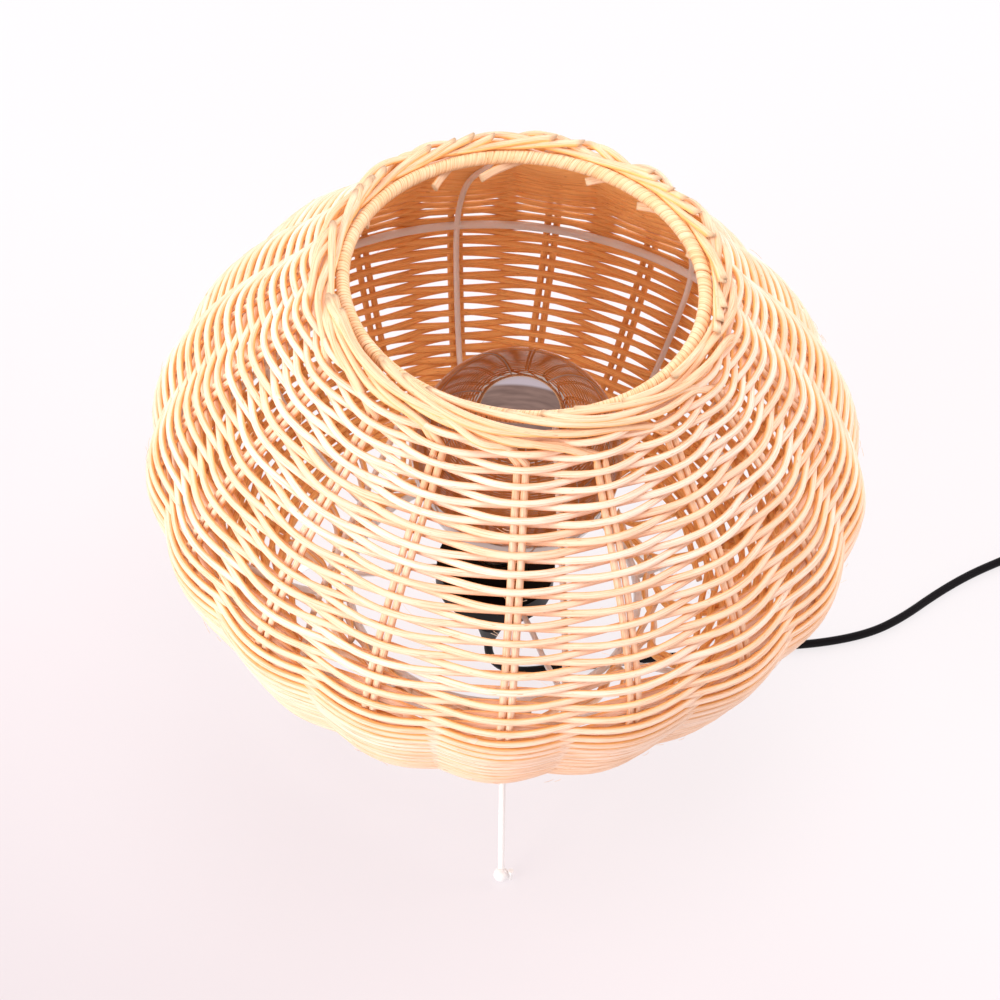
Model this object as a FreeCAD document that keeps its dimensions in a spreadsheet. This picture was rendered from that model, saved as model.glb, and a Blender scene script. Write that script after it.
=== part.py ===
import FreeCAD, Part
import Sketcher
import math
import os
import re
from FreeCAD import Placement, Rotation, Vector

# A table lamp: a squat woven rattan shade on a wire frame with three splayed legs, a globe lamp
# standing in a black cup on a three-armed spider, and a cord with a rocker switch and a plug.
# Millimetres, +Z up, origin on the floor under the axis of the shade. -Y is the front.

DIMENSIONS = {
    # woven shade: wall between an outer and an inner outline, from shade_foot to shade_head
    "belly_radius": 211.5,
    "shade_foot": 88.0,
    "shade_height": 276.0,
    "wall": 11.0,
    "reed": 4.0,
    "foot_border_inner": 91.1,
    "foot_border_outer": 106.0,
    "foot_border_low": 85.5,
    "foot_border_high": 96.0,
    "head_border_inner": 105.6,
    "head_border_outer": 118.0,
    "head_border_low": 352.0,
    "head_border_high": 365.0,
    # wire frame
    "ring_wire": 5.0,
    "rib_wire": 3.6,
    "leg_wire": 4.0,
    "head_ring_radius": 101.7,
    "head_ring_level": 358.2,
    "rim_wrap": 1.3,
    "belly_ring_radius": 195.6,
    "belly_ring_level": 211.0,
    "foot_ring_radius": 88.6,
    "foot_ring_level": 91.0,
    "foot_reach": 152.0,
    "foot_ball": 4.5,
    "foot_centre": 4.3,
    "foot_pin_radius": 1.6,
    "foot_pin_height": 8.0,
    # black cup and lampholder
    "cup_radius": 36.0,
    "cup_head": 114.0,
    "cup_brim": 99.0,
    "cup_throat": 72.0,
    "cup_foot": 63.0,
    "cup_neck_radius": 12.0,
    "cup_wall": 1.6,
    "holder_radius": 19.5,
    "holder_wall": 1.8,
    "holder_head": 129.0,
    "holder_foot": 92.0,
    "shell_radius": 14.4,
    "shell_wall": 0.6,
    "nipple_radius": 5.0,
    "nipple_bore": 3.2,
    "nut_height": 4.0,
    "nut_width": 14.0,
    "grip_radius": 9.0,
    "grip_tip_radius": 4.2,
    "grip_length": 20.0,
    "grip_collar": 4.0,
    "base_thickness": 7.0,
    "shell_flange": 1.2,
    "contact_radius": 4.5,
    "contact_tip_radius": 3.2,
    # globe lamp
    "globe_radius": 62.5,
    "globe_level": 216.6,
    "glass": 1.2,
    "neck_radius": 17.2,
    "cap_radius": 13.2,
    "cap_root": 12.4,
    "cap_wall": 0.5,
    "cap_foot": 108.0,
    "cap_head": 131.0,
    "tip_level": 104.2,
    "tip_radius": 3.6,
    "tip_height": 1.4,
    "cap_chamfer_radius": 9.6,
    "stem_radius": 7.0,
    "stem_tip_radius": 3.0,
    # cord, switch and plug
    "cord_diameter": 5.4,
    "coil_inner": 16.0,
    "coil_outer": 41.0,
    "coil_low": 0.9,
    "coil_high": 11.7,
    "tie_width": 9.0,
    "tie_thickness": 0.9,
    "switch_length": 62.0,
    "switch_width": 28.0,
    "switch_parting": 6.5,
    "switch_height": 17.0,
    "switch_skin": 2.0,
    "switch_corner": 5.0,
    "well_length": 25.0,
    "well_width": 12.0,
    "screw_radius": 1.7,
    "screw_spread": 24.0,
    "pivot_radius": 1.5,
    "pivot_level": 12.2,
    "rocker_length": 22.0,
    "rocker_width": 11.0,
    "rocker_tilt": 9.0,
    "plug_width": 35.0,
    "plug_thickness": 13.7,
    "plug_length": 36.0,
    "plug_tail_width": 13.0,
    "plug_boot": 22.0,
    "boot_tail_radius": 3.4,
    "boot_head_radius": 5.6,
    "pin_radius": 2.0,
    "pin_length": 19.0,
    "pin_pitch": 19.0,
}

# Outline of the shade: share of its height, and share of the belly radius.
SHADE_OUTLINE = (
    (0.0, 0.482),
    (0.12, 0.775),
    (0.28, 0.917),
    (0.45, 1.0),
    (0.60, 0.94),
    (0.75, 0.808),
    (0.88, 0.658),
    (1.0, 0.542),
)
RIB_AZIMUTHS = [103.5 - 45.0 * k for k in range(8)]
LEG_AZIMUTHS = [-81.7, 38.3, 158.3]
ARM_AZIMUTHS = [180.0, -58.0, 60.0]
CAP_RIDGES = 5
CAP_PITCH = 3.6
# Top of the ceramic base that the holder's contacts stand on.
BASE_TOP = "holder_foot + 2 + base_thickness"
# How much of its shorter run each arc of a wire and of a cord takes.
WIRE_SHARE = 0.48
CORD_SHARE = 0.45

# Route of the cord from the grip under the cup to the switch, chosen point by point.
CORD_ROUTE = (
    (0.0, 0.0, 43.0),
    (0.0, 0.0, 30.3),
    (5.2, 1.9, 16.9),
    (13.8, 5.0, 7.7),
    (25.3, 8.6, 2.7),
    (46.0, 14.6, 2.7),
    (72.0, 20.0, 2.7),
    (97.0, 28.0, 2.7),
    (136.0, 36.5, 2.7),
    (178.0, 48.5, 2.7),
    (214.0, 56.5, 2.7),
    (244.0, 68.5, 2.7),
    (265.0, 84.5, 2.7),
    (287.0, 107.5, 2.7),
    (309.0, 127.0, 2.7),
    (333.0, 143.5, 2.7),
    (350.0, 153.5, 4.6),
    (364.0, 160.3, 6.3),
    (377.0, 166.5, 6.5),
)
SWITCH_HEADING = 25.5
# From the switch to the coil, and from the coil to the plug.
LINK_ROUTE = (
    (433.0, 193.2, 6.5),
    (445.2, 199.4, 6.3),
    (458.0, 205.0, 4.7),
    (468.5, 210.3, 3.6),
    (478.1, 214.7, 3.6),
)
COIL_CENTRE = (494.2, 181.0)
TAIL_ROUTE = (
    (531.1, 171.1, 9.0),
    (528.2, 161.1, 9.0),
    (525.8, 149.8, 8.3),
    (522.5, 138.4, 7.1),
    (518.7, 128.5, 6.85),
)
PLUG_HEADING = 248.0
TIE_AZIMUTH = 20.0

doc = FreeCAD.newDocument("table_lamp")


def make_sheet():
    sheet = doc.addObject("Spreadsheet::Sheet", "Dims")
    for row, (alias, value) in enumerate(DIMENSIONS.items(), start=1):
        sheet.set(f"A{row}", alias)
        sheet.set(f"B{row}", str(value))
        sheet.setAlias(f"B{row}", alias)
    doc.recompute()
    return sheet


sheet = make_sheet()
nodes = []


def bound(text):
    """The text of a formula in aliases as an expression on the sheet."""
    return re.sub(r"[a-z_]+(?![a-z_(])", lambda word: "Dims." + word.group(0), text)


def size(text):
    """The value of a formula in aliases."""
    value = sheet.evalExpression(bound(text))
    return float(getattr(value, "Value", value))


def around(radius, azimuth, level=0.0):
    turn = math.radians(azimuth)
    return Vector(radius * math.cos(turn), radius * math.sin(turn), level)


def turned_by(azimuth, place=Vector()):
    return Placement(place, Rotation(Vector(0, 0, 1), azimuth))


def node(item, label, placement=None):
    """Names an object as one of the lamp's sub-parts, and puts it in its place."""
    item.Label = label
    if placement:
        item.Placement = placement
    nodes.append(item)
    return item


def feature(label, shape, placement=None):
    """A sub-part whose shape is worked out here from the sheet's values."""
    item = doc.addObject("Part::Feature", label)
    item.Shape = shape
    return node(item, label, placement or Placement())


def plane_of(body, role):
    return next(item for item in body.Origin.OriginFeatures if item.Role == role)


def sketch_on(body, name, role="XY_Plane", level=None):
    sketch = body.newObject("Sketcher::SketchObject", name)
    sketch.AttachmentSupport = [(plane_of(body, role), "")]
    sketch.MapMode = "FlatFace"
    if level is not None:
        sketch.setExpression("AttachmentOffset.Base.z", bound(level))
    return sketch


def new_body(label, placement=None):
    body = doc.addObject("PartDesign::Body", label)
    return node(body, label, placement)


def pin_down(sketch, line, axis_kind, formula):
    """Ties one coordinate of a line's start to a formula; on an axis, to that axis."""
    if formula == "0":
        axis = -2 if axis_kind == "DistanceX" else -1
        sketch.addConstraint(Sketcher.Constraint("PointOnObject", line, 1, axis))
        return
    value = size(formula)
    number = sketch.addConstraint(Sketcher.Constraint(axis_kind, line, 1, value))
    sketch.setExpression(f"Constraints[{number}]", bound(formula))


def outline_in(sketch, corners):
    """A closed outline of straight lines whose corners are pairs of formulas."""
    points = [Vector(size(x), size(y), 0) for x, y in corners]
    for start, end in zip(points, points[1:] + points[:1]):
        sketch.addGeometry(Part.LineSegment(start, end), False)
    count = len(points)
    for line in range(count):
        sketch.addConstraint(Sketcher.Constraint("Coincident", line, 2, (line + 1) % count, 1))
    for line, (x, y) in enumerate(corners):
        pin_down(sketch, line, "DistanceX", x)
        pin_down(sketch, line, "DistanceY", y)


def turned(label, corners, placement=None):
    """A body turned about its Z axis from an outline of radius and level formulas."""
    body = new_body(label, placement)
    sketch = sketch_on(body, label + "_outline", "XZ_Plane")
    outline_in(sketch, corners)
    turning = body.newObject("PartDesign::Revolution", label + "_turning")
    turning.Profile = sketch
    turning.ReferenceAxis = (sketch, ["V_Axis"])
    turning.Angle = 360.0
    return body


def padded(label, corners, low, height, placement=None):
    """A body raised from a flat outline at a level by a height."""
    body = new_body(label, placement)
    sketch = sketch_on(body, label + "_plan", "XY_Plane", low)
    outline_in(sketch, corners)
    pad = body.newObject("PartDesign::Pad", label + "_pad")
    pad.Profile = sketch
    pad.setExpression("Length", bound(height))
    return body


def blank(label, corners, width, placement=None):
    """A body of one upright section across a width, from which a sub-part is cut."""
    body = doc.addObject("PartDesign::Body", label)
    body.Placement = placement or Placement()
    sketch = sketch_on(body, label + "_section", "XZ_Plane")
    outline_in(sketch, corners)
    pad = body.newObject("PartDesign::Pad", label + "_pad")
    pad.Profile = sketch
    pad.Midplane = True
    pad.setExpression("Length", bound(width))
    return body


def rounded(body, radius, wanted):
    """Rounds the edges of a body that a test picks."""
    doc.recompute()
    base = body.Tip
    names = [f"Edge{k}" for k, edge in enumerate(base.Shape.Edges, start=1) if wanted(edge)]
    fillet = body.newObject("PartDesign::Fillet", body.Label + "_rounding")
    fillet.Base = (base, names)
    fillet.setExpression("Radius", bound(radius))


def cut_down(body, name, sketch, depth):
    """Cuts a sketch's shape into a body, downward from the sketch, and checks that it cut."""
    doc.recompute()
    before = body.Shape.Volume
    pocket = body.newObject("PartDesign::Pocket", name)
    pocket.Profile = sketch
    pocket.setExpression("Length", bound(depth))
    doc.recompute()
    if body.Shape.Volume > before - 1:
        raise ValueError(f"{name} cuts nothing")


def circle_in(sketch, across, radius):
    """A circle on the sketch's long axis, at a distance formula from its origin."""
    at = size(across)
    number = sketch.addGeometry(Part.Circle(Vector(at, 0, 0), Vector(0, 0, 1), size(radius)), False)
    sketch.addConstraint(Sketcher.Constraint("PointOnObject", number, 3, -1))
    place = sketch.addConstraint(Sketcher.Constraint("DistanceX", number, 3, at))
    sketch.setExpression(f"Constraints[{place}]", bound(across))
    width = sketch.addConstraint(Sketcher.Constraint("Radius", number, size(radius)))
    sketch.setExpression(f"Constraints[{width}]", bound(radius))


def torus(label, radius, wire, level):
    ring = node(doc.addObject("Part::Torus", label), label)
    ring.setExpression("Radius1", bound(radius))
    ring.setExpression("Radius2", bound(wire + " / 2"))
    ring.setExpression("Placement.Base.z", bound(level))


def rounded_path(points, share):
    """Straight runs joined by tangent arcs, each arc as large as its two runs allow."""
    edges = []
    radii = []
    start = points[0]
    for before, corner, after in zip(points, points[1:], points[2:]):
        back = before - corner
        ahead = after - corner
        setback = share * min(back.Length, ahead.Length)
        half_turn = (math.pi - back.getAngle(ahead)) / 2
        radius = setback / math.tan(half_turn)
        radii.append(radius)
        back.normalize()
        ahead.normalize()
        arc_start = corner + back * setback
        arc_end = corner + ahead * setback
        inward = back + ahead
        inward.normalize()
        middle = corner + inward * (radius / math.cos(half_turn) - radius)
        edges.append(Part.LineSegment(start, arc_start).toShape())
        edges.append(Part.Arc(arc_start, middle, arc_end).toShape())
        start = arc_end
    edges.append(Part.LineSegment(start, points[-1]).toShape())
    return Part.Wire(edges), radii


def wire_along(points, diameter, share):
    """A round wire or cord along rounded runs, with its arcs' radii."""
    path, radii = rounded_path(points, share)
    heading = points[1] - points[0]
    section = Part.Wire(Part.Circle(points[0], heading, diameter / 2).toShape())
    solid = path.makePipeShell([section], True, False)
    stated = math.pi * diameter**2 / 4 * path.Length
    if abs(solid.Volume / stated - 1) > 0.01:
        raise ValueError(f"a wire's volume is {solid.Volume:.0f}, not {stated:.0f}")
    return solid, radii, path.Length


def shade_curve(inset):
    """The shade's outline, moved inward along its normal."""
    foot = size("shade_foot")
    tall = size("shade_height")
    wide = size("belly_radius")
    points = [Vector(wide * across, 0, foot + tall * up) for up, across in SHADE_OUTLINE]
    curve = Part.BSplineCurve()
    curve.interpolate(points)
    if not inset:
        return curve
    moved = []
    for point in points:
        along = Vector(curve.tangent(curve.parameter(point))[0])
        moved.append(point + Vector(-along.z, 0, along.x) * inset)
    inner = Part.BSplineCurve()
    inner.interpolate(moved)
    return inner


def slab(low, high):
    reach = 2 * size("belly_radius")
    block = Part.makeBox(2 * reach, 2 * reach, high - low)
    block.translate(Vector(-reach, -reach, low))
    return block


def make_ribs():
    """Eight ribs that follow the inside of the weave from the head ring to the foot ring."""
    inset = size("wall + rib_wire / 2 + 0.3")
    curve = shade_curve(inset)
    shares = [0.0, 0.1, 0.22, 0.34, 0.46, 0.58, 0.7, 0.82, 0.93]
    first, last = curve.FirstParameter, curve.LastParameter
    line = [curve.value(first + (last - first) * share) for share in shares]
    line[0] = Vector(size("foot_ring_radius"), 0, size("foot_ring_level"))
    line.append(Vector(size("head_ring_radius"), 0, size("head_ring_level")))
    solid = wire_along(line, size("rib_wire"), WIRE_SHARE)[0]
    for number, azimuth in enumerate(RIB_AZIMUTHS, start=1):
        feature(f"rib_{number}", solid.copy(), turned_by(azimuth))
    return solid


def make_rings():
    torus("ring_belly", "belly_ring_radius", "ring_wire", "belly_ring_level")
    torus("ring_foot", "foot_ring_radius", "ring_wire", "foot_ring_level")
    torus("ring_head", "head_ring_radius", "ring_wire", "head_ring_level")


def leg_placement(azimuth):
    """A leg's axis runs down and out from the foot ring to the middle of its ball foot."""
    start = around(size("foot_ring_radius"), azimuth, size("foot_ring_level"))
    end = around(size("foot_reach"), azimuth, size("foot_centre"))
    return Placement(start, Rotation(Vector(0, 0, 1), end - start))


def make_legs():
    """Three legs that splay from the foot ring, each in a ball foot with a pin beside it."""
    bars = []
    for number, azimuth in enumerate(LEG_AZIMUTHS, start=1):
        run = "sqrt((foot_reach - foot_ring_radius) ^ 2 + (foot_ring_level - foot_centre) ^ 2)"
        end = run + " - foot_ball + 0.6"
        outline = (("0", "0"), ("leg_wire / 2", "0"), ("leg_wire / 2", end), ("0", end))
        bars.append(turned(f"leg_{number}", outline, leg_placement(azimuth)))
        make_foot(number, azimuth)
    return bars


def make_foot(number, azimuth):
    """A ball with a flat under it, and a short pin standing against its side."""
    ball = doc.addObject("Part::Sphere", f"ball_{number}")
    ball.setExpression("Radius", bound("foot_ball"))
    ball.setExpression("Angle1", "-asin(Dims.foot_centre / Dims.foot_ball)")
    ball.setExpression("Placement.Base.x", bound("foot_reach"))
    ball.setExpression("Placement.Base.z", bound("foot_centre"))
    pin = doc.addObject("Part::Cylinder", f"pin_{number}")
    pin.setExpression("Radius", bound("foot_pin_radius"))
    pin.setExpression("Height", bound("foot_pin_height"))
    pin.setExpression("Placement.Base.x", bound("foot_reach"))
    pin.setExpression("Placement.Base.y", bound("foot_ball + foot_pin_radius - 0.4"))
    foot = doc.addObject("Part::Fuse", f"foot_{number}")
    foot.Base = ball
    foot.Tool = pin
    node(foot, f"foot_{number}", turned_by(azimuth))


def make_shade(rib, legs):
    """The woven wall, its two plaited borders and the bound rim, with room for the wires."""
    doc.recompute()
    outer = shade_curve(0.0)
    inner = shade_curve(size("wall"))
    top = Part.LineSegment(outer.value(outer.LastParameter), inner.value(inner.LastParameter))
    bottom = Part.LineSegment(inner.value(inner.FirstParameter), outer.value(outer.FirstParameter))
    edges = [outer.toShape(), top.toShape(), inner.toShape(), bottom.toShape()]
    face = Part.Face(Part.Wire(Part.__sortEdges__(edges)))
    wall = face.revolve(Vector(), Vector(0, 0, 1), 360)
    wall = wall.common(slab(size("foot_border_high"), size("head_border_low")))
    feature("woven_wall", wall)
    wires = [rib.rotated(Vector(), Vector(0, 0, 1), azimuth) for azimuth in RIB_AZIMUTHS]
    wires += [leg.Shape for leg in legs]
    feature("border_foot", border("foot_border").cut(wires))
    feature("border_head", border("head_border"))
    make_rim_wrap(wires)


def border(name):
    inner = size(name + "_inner")
    low = size(name + "_low")
    section = Part.makeBox(size(f"{name}_outer - {name}_inner"), 1, size(f"{name}_high - {name}_low"))
    section.translate(Vector(inner, 0, low))
    face = next(item for item in section.Faces if abs(item.CenterOfMass.y) < 0.01)
    solid = face.revolve(Vector(), Vector(0, 0, 1), 360)
    return solid.makeFillet(size("reed"), rims_of(solid))


def rims_of(solid):
    return [edge for edge in solid.Edges if isinstance(edge.Curve, Part.Circle)]


def make_rim_wrap(wires):
    """The strip wound round the head ring, as a tube that the ring fills."""
    radius = size("head_ring_radius")
    place = Vector(0, 0, size("head_ring_level"))
    skin = Part.makeTorus(radius, size("ring_wire / 2 + rim_wrap"), place)
    core = Part.makeTorus(radius, size("ring_wire / 2"), place)
    feature("rim_wrap", skin.cut(core).cut(wires))


def make_spider():
    """Three arms that rise from the foot ring to the side of the cup."""
    low = size("foot_ring_level")
    line = [
        Vector(size("foot_ring_radius"), 0, low),
        Vector(66.0, 0, low + 4.0),
        Vector(48.0, 0, low + 13.0),
        Vector(size("cup_radius"), 0, low + 15.0),
    ]
    solid = wire_along(line, size("rib_wire"), WIRE_SHARE)[0]
    for number, azimuth in enumerate(ARM_AZIMUTHS, start=1):
        feature(f"arm_{number}", solid.copy(), turned_by(azimuth))


def make_cup():
    turned(
        "holder_cup",
        (
            ("holder_radius + 0.1", "cup_head"),
            ("cup_radius", "cup_head"),
            ("cup_radius", "cup_brim"),
            ("cup_neck_radius", "cup_throat"),
            ("cup_neck_radius", "cup_foot"),
            ("nipple_radius", "cup_foot"),
            ("nipple_radius", "cup_foot + cup_wall"),
            ("cup_neck_radius - cup_wall", "cup_foot + cup_wall"),
            ("cup_neck_radius - cup_wall", "cup_throat"),
            ("cup_radius - cup_wall", "cup_brim + cup_wall"),
            ("cup_radius - cup_wall", "cup_head - cup_wall"),
            ("holder_radius + 0.1", "cup_head - cup_wall"),
        ),
    )
    turned(
        "cord_grip",
        (
            ("0", "cup_foot"),
            ("grip_radius", "cup_foot"),
            ("grip_radius", "cup_foot - grip_collar"),
            ("grip_tip_radius", "cup_foot - grip_length"),
            ("0", "cup_foot - grip_length"),
        ),
    )
    turned(
        "nipple",
        (
            ("nipple_bore", "cup_foot"),
            ("nipple_radius", "cup_foot"),
            ("nipple_radius", "holder_foot"),
            ("nipple_bore", "holder_foot"),
        ),
    )
    make_nut()


def make_nut():
    """A hexagonal nut that clamps the cup to the nipple."""
    width = size("nut_width")
    corner = width / math.sqrt(3)
    corners = [around(corner, 60 * k) for k in range(7)]
    prism = Part.Face(Part.makePolygon(corners)).extrude(Vector(0, 0, size("nut_height")))
    bore = Part.makeCylinder(size("nipple_radius"), size("nut_height"))
    place = Placement(Vector(0, 0, size("cup_foot + cup_wall")), Rotation())
    feature("nipple_nut", prism.cut(bore), place)


def make_holder():
    turned(
        "holder_skirt",
        (
            ("shell_radius + 1.4", "holder_head"),
            ("holder_radius", "holder_head"),
            ("holder_radius", "holder_foot"),
            ("nipple_radius", "holder_foot"),
            ("nipple_radius", "holder_foot + 2"),
            ("holder_radius - holder_wall", "holder_foot + 2"),
            ("holder_radius - holder_wall", "holder_head - 2"),
            ("shell_radius + 1.4", "holder_head - 2"),
        ),
    )
    turned(
        "holder_base",
        (
            ("0", "holder_foot + 2"),
            ("holder_radius - holder_wall", "holder_foot + 2"),
            ("holder_radius - holder_wall", BASE_TOP),
            ("0", BASE_TOP),
        ),
    )
    turned(
        "screw_shell",
        (
            ("shell_radius - shell_wall", BASE_TOP),
            ("shell_radius + shell_flange", BASE_TOP),
            ("shell_radius + shell_flange", BASE_TOP + " + 1"),
            ("shell_radius", BASE_TOP + " + 1"),
            ("shell_radius", "holder_head - 3"),
            ("shell_radius - shell_wall", "holder_head - 3"),
        ),
    )
    turned(
        "centre_contact",
        (
            ("0", BASE_TOP),
            ("contact_radius", BASE_TOP),
            ("contact_tip_radius", "tip_level - 0.3"),
            ("0", "tip_level - 0.3"),
        ),
    )


def make_bulb():
    """The globe lamp: glass skin, stem, screw cap, insulating button and tip."""
    turned(
        "bulb_insulator",
        (
            ("0", "tip_level + tip_height"),
            ("tip_radius + 1", "tip_level + tip_height"),
            ("cap_chamfer_radius", "cap_foot"),
            ("0", "cap_foot"),
        ),
    )
    turned(
        "bulb_tip",
        (
            ("0", "tip_level"),
            ("tip_radius", "tip_level"),
            ("tip_radius + 0.8", "tip_level + tip_height"),
            ("0", "tip_level + tip_height"),
        ),
    )
    cap = [("0", "cap_foot"), ("cap_chamfer_radius", "cap_foot"), ("cap_root", "cap_foot + 2.4")]
    for ridge in range(CAP_RIDGES):
        start = 3.0 + CAP_PITCH * ridge
        cap.append(("cap_root", f"cap_foot + {start:.1f}"))
        cap.append(("cap_radius", f"cap_foot + {start + CAP_PITCH / 2:.1f}"))
    cap += [
        ("cap_root", "cap_head - 1"),
        ("cap_radius", "cap_head"),
        ("cap_root - cap_wall", "cap_head"),
        ("cap_root - cap_wall", "cap_foot + 3"),
        ("0", "cap_foot + 1"),
    ]
    turned("bulb_cap", cap)
    make_globe()
    turned(
        "bulb_stem",
        (
            ("0", "cap_head - 6"),
            ("cap_root - cap_wall", "cap_head - 6"),
            ("cap_root - cap_wall", "cap_head"),
            ("stem_radius", "cap_head + 5"),
            ("stem_radius", "cap_head + 12"),
            ("stem_tip_radius", "cap_head + 24"),
            ("stem_tip_radius", "globe_level - 18"),
            ("0", "globe_level - 18"),
        ),
    )


def globe_outline(inset):
    """Half outline of the glass: root, neck, flare and ball, as edges in the XZ plane."""
    ball = size("globe_radius") - inset
    level = size("globe_level")
    neck = size("neck_radius") - inset
    foot = size("cap_head")
    join = math.radians(-52)
    meet = Vector(ball * math.cos(join), 0, level + ball * math.sin(join))
    side = Vector(ball, 0, level)
    crown = Vector(0, 0, level + ball)
    shoulder = Vector(ball * math.cos(math.pi / 4), 0, level + ball * math.sin(math.pi / 4))
    flank = Vector(ball * math.cos(join / 2), 0, level + ball * math.sin(join / 2))
    root = Vector(size("cap_radius") - inset, 0, foot)
    waist = Vector(neck, 0, foot + 5)
    flare = Part.BezierCurve()
    slope = Vector(-math.sin(join), 0, math.cos(join))
    flare.setPoles([waist, waist + Vector(0, 0, 14), meet - slope * 14, meet])
    return [
        Part.LineSegment(root, waist).toShape(),
        flare.toShape(),
        Part.Arc(meet, flank, side).toShape(),
        Part.Arc(side, shoulder, crown).toShape(),
    ]


def make_globe():
    skin = globe_outline(0.0)
    hollow = globe_outline(size("glass"))
    rim = Part.LineSegment(hollow[0].Vertexes[0].Point, skin[0].Vertexes[0].Point).toShape()
    crown = Part.LineSegment(skin[-1].Vertexes[-1].Point, hollow[-1].Vertexes[-1].Point).toShape()
    edges = Part.__sortEdges__(skin + hollow + [rim, crown])
    feature("bulb_globe", Part.Face(Part.Wire(edges)).revolve(Vector(), Vector(0, 0, 1), 360))


def make_cord():
    diameter = size("cord_diameter")
    for label, route in (("cord_run", CORD_ROUTE), ("cord_link", LINK_ROUTE), ("cord_tail", TAIL_ROUTE)):
        points = [Vector(*point) for point in route]
        solid, radii, length = wire_along(points, diameter, CORD_SHARE)
        print(label, "length", round(length), "radii", [round(radius) for radius in radii])
        feature(label, solid)
    make_coil()


def make_coil():
    """The wound length of cord as one ring, and the strap that ties it."""
    centre = Vector(*COIL_CENTRE, 0)
    corners = (
        ("coil_inner", "coil_low"),
        ("coil_outer", "coil_low"),
        ("coil_outer", "coil_high"),
        ("coil_inner", "coil_high"),
    )
    coil = turned("cord_coil", corners, turned_by(0, centre))
    rounded(coil, "cord_diameter / 2", lambda edge: isinstance(edge.Curve, Part.Circle))
    skin = "tie_thickness"
    strap = (
        (f"coil_inner - {skin}", f"coil_low - {skin}"),
        (f"coil_outer + {skin}", f"coil_low - {skin}"),
        (f"coil_outer + {skin}", f"coil_high + {skin}"),
        (f"coil_inner - {skin}", f"coil_high + {skin}"),
    )
    tie = doc.addObject("Part::Cut", "coil_tie")
    tie.Base = blank("tie_blank", strap, "tie_width", turned_by(TIE_AZIMUTH, centre))
    tie.Tool = coil
    node(tie, "coil_tie")


def half_sizes(length, width):
    """The corners of a rectangle about the origin."""
    return (
        (f"-{length} / 2", f"-{width} / 2"),
        (f"{length} / 2", f"-{width} / 2"),
        (f"{length} / 2", f"{width} / 2"),
        (f"-{length} / 2", f"{width} / 2"),
    )


def switch_place():
    middle = (Vector(*CORD_ROUTE[-1]) + Vector(*LINK_ROUTE[0])) * 0.5
    middle.z = 0
    return turned_by(SWITCH_HEADING, middle)


def switch_half(label, low, height, well_depth, hole_depth, place):
    """One half of the housing, with the well for the rocker and its two screw holes."""
    body = padded(label, half_sizes("switch_length", "switch_width"), low, height, place)
    rounded(body, "switch_corner", lambda edge: edge.BoundBox.ZLength > 1)
    head = f"{low} + {height}"
    well = sketch_on(body, label + "_well_plan", "XY_Plane", head)
    outline_in(well, half_sizes("well_length", "well_width"))
    cut_down(body, label + "_well", well, well_depth)
    holes = sketch_on(body, label + "_hole_plan", "XY_Plane", head)
    circle_in(holes, "-screw_spread", "screw_radius")
    circle_in(holes, "screw_spread", "screw_radius")
    cut_down(body, label + "_holes", holes, hole_depth)


def make_switch():
    """An inline switch: two housing halves, two screws and a rocker on a cross pin."""
    place = switch_place()
    low_well = "switch_parting - switch_skin"
    high = "switch_height - switch_parting"
    switch_half("switch_lower", "0", "switch_parting", low_well, "switch_parting - 1.5", place)
    switch_half("switch_upper", "switch_parting", high, high, high, place)
    for number, side in enumerate(("-", ""), start=1):
        offset = Placement(Vector(size(side + "screw_spread"), 0, 0), Rotation())
        head = "switch_height - 0.8"
        outline = (("0", "1.5"), ("screw_radius", "1.5"), ("screw_radius", head), ("0", head))
        turned(f"switch_screw_{number}", outline, place.multiply(offset))
    pivot = Vector(0, size("well_width / 2"), size("pivot_level"))
    sideways = Placement(pivot, Rotation(Vector(1, 0, 0), 90))
    outline = (("0", "0"), ("pivot_radius", "0"), ("pivot_radius", "well_width"), ("0", "well_width"))
    turned("rocker_pin", outline, place.multiply(sideways))
    make_rocker(place)


def make_rocker(place):
    """The rocker, a shallow roof shape on its pivot, modelled tilted to its off side."""
    section = (
        ("-rocker_length / 2", "-1.5"),
        ("rocker_length / 2", "-1.5"),
        ("rocker_length / 2", "3.2"),
        ("0", "5"),
        ("-rocker_length / 2", "3.2"),
    )
    tilt = Placement(Vector(0, 0, size("pivot_level")), Rotation(Vector(0, 1, 0), size("-rocker_tilt")))
    bore = doc.addObject("Part::Cylinder", "rocker_bore")
    bore.setExpression("Radius", bound("pivot_radius + 0.3"))
    bore.setExpression("Height", bound("rocker_width + 2"))
    bore.Placement = Placement(Vector(0, size("rocker_width / 2 + 1"), 0), Rotation(Vector(1, 0, 0), 90))
    rocker = doc.addObject("Part::Cut", "switch_rocker")
    rocker.Base = blank("rocker_blank", section, "rocker_width")
    rocker.Tool = bore
    node(rocker, "switch_rocker", place.multiply(tilt))


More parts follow.
